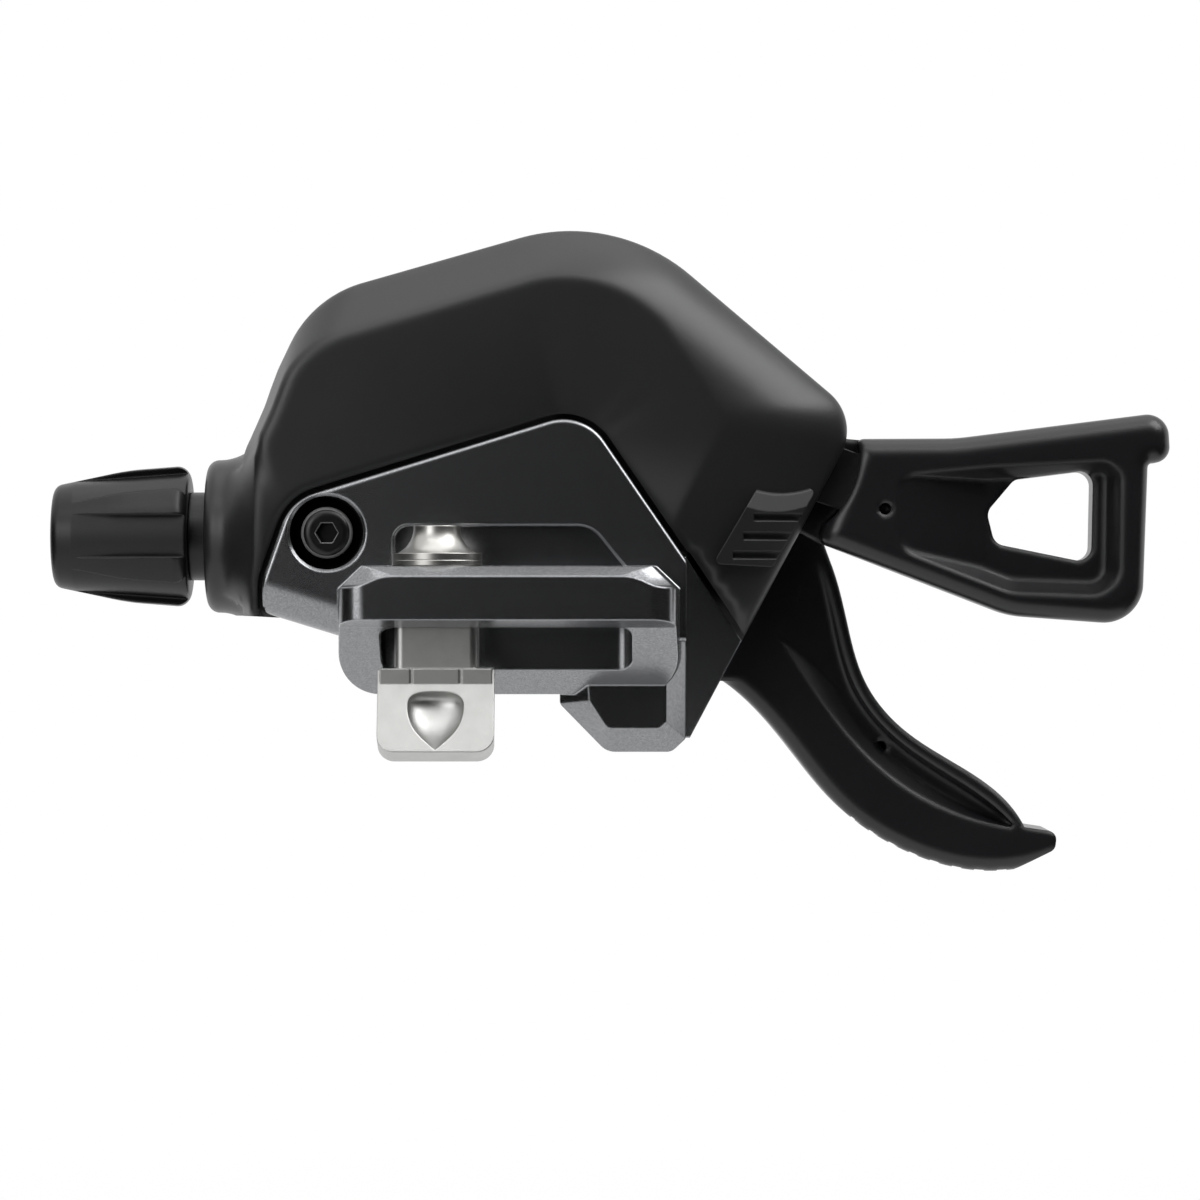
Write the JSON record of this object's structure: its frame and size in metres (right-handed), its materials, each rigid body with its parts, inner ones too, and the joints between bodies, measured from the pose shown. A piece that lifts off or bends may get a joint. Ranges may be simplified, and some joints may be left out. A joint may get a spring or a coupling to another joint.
{
  "type": "trigger gear shifter",
  "caption": "Handlebar trigger gear shifter: angular moulded housing with thumb lever and windowed release lever, barrel cable adjuster and a slotted clamp bracket.",
  "frame": {"origin": "on the clamp bolt's axis, at the top face of the rail that the clamp slides along", "axes": "+Z along the clamp bolt, out of the tapped boss; +X along the handlebar, from the cable adjuster to the lever tips; +Y back through the housing"},
  "size_m": [0.1134, 0.0404, 0.0652],
  "materials": {
    "cover_plastic": "fine grained black moulded plastic",
    "lever_plastic": "fine grained black glass filled nylon",
    "adjuster_plastic": "black moulded acetal",
    "port_rubber": "black moulded elastomer",
    "bracket_paint": "fine metallic gunmetal paint on cast aluminium",
    "black_screw": "black oxide steel",
    "clamp_steel": "brushed stainless steel",
    "boss_steel": "turned and polished stainless steel",
    "plate_steel": "stamped zinc plated steel",
    "black_steel": "black coated stamped steel",
    "spring_steel": "drawn spring wire",
    "drum_resin": "moulded acetal",
    "bush_brass": "sintered bearing bronze"
  },
  "bodies": {
    "housing": {"upper_cover": "cover_plastic", "rear_cover": "cover_plastic", "cover_screws": "black_screw", "cable_port_cover": "port_rubber", "bracket": "bracket_paint", "bracket_screw": "black_screw", "base_plate": "plate_steel", "main_axle": "plate_steel", "axle_washer": "black_screw", "axle_nut": "black_screw", "release_pivot_pin": "plate_steel", "release_clip": "spring_steel", "release_spring": "spring_steel", "holding_pawl_pin": "plate_steel", "holding_pawl_spring": "spring_steel", "drum_spring": "spring_steel", "lever_spring": "spring_steel"},
    "drum": {"cable_drum": "drum_resin", "index_wheel": "plate_steel", "feed_wheel": "plate_steel", "drum_bush": "bush_brass"},
    "thumb_lever": {"main_lever": "lever_plastic", "main_lever_arm": "black_steel", "feed_pawl_pin": "plate_steel", "feed_pawl_spring": "spring_steel"},
    "driving_pawl": {"feed_pawl": "plate_steel"},
    "finger_lever": {"release_lever": "lever_plastic", "release_arm": "black_steel", "release_bush": "bush_brass"},
    "locking_pawl": {"holding_pawl": "plate_steel"},
    "adjuster_slide": {"adjuster_sleeve": "adjuster_plastic", "adjuster_spring": "spring_steel"},
    "adjuster_knob": {"adjuster_barrel": "adjuster_plastic", "adjuster_bolt": "black_steel"},
    "clamp": {"clamp_boss": "boss_steel", "clamp_washer": "boss_steel", "clamp_nut": "clamp_steel"}
  },
  "joints": [
    {"name": "main_lever_swing", "type": "hinge", "parent": "housing", "child": "thumb_lever", "pos_m": [0.0145, 0, 0.01705], "axis": [0, -1, 0], "range_deg": [0, 30.6], "stiffness_Nm_per_rad": 0.25},
    {"name": "feed_pawl_rock", "type": "hinge", "parent": "thumb_lever", "child": "driving_pawl", "pos_m": [0.02599, 0, 0.00741], "axis": [0, -1, 0], "range_deg": [0, 14], "stiffness_Nm_per_rad": 0.002},
    {"name": "drum_turn", "type": "hinge", "parent": "housing", "child": "drum", "pos_m": [0.0145, 0, 0.01705], "axis": [0, -1, 0], "range_deg": [0, 153], "stiffness_Nm_per_rad": 0.01},
    {"name": "release_lever_swing", "type": "hinge", "parent": "housing", "child": "finger_lever", "pos_m": [0.0335, 0, 0.0114], "axis": [0, -1, 0], "range_deg": [0, 14], "stiffness_Nm_per_rad": 0.15},
    {"name": "holding_pawl_rock", "type": "hinge", "parent": "housing", "child": "locking_pawl", "pos_m": [0.0188, 0, 0.0051], "axis": [0, -1, 0], "range_deg": [-10.9, 0.1]},
    {"name": "adjuster_advance", "type": "slide", "parent": "housing", "child": "adjuster_slide", "axis": [-1, 0, 0], "range_m": [-0.0008, 0.0024]},
    {"name": "adjuster_turn", "type": "hinge", "parent": "adjuster_slide", "child": "adjuster_knob", "pos_m": [0, 0.019, 0.0032], "axis": [-1, 0, 0], "range_deg": [-361, 1081]},
    {"name": "clamp_slide", "type": "slide", "parent": "housing", "child": "clamp", "axis": [1, 0, 0], "range_m": [-0.0012, 0.0148]}
  ],
  "couplings": [
    {"joint": "holding_pawl_rock", "follows": "release_lever_swing", "ratio": -0.777},
    {"joint": "adjuster_turn", "follows": "adjuster_advance", "rad_per_m": 7854}
  ]
}
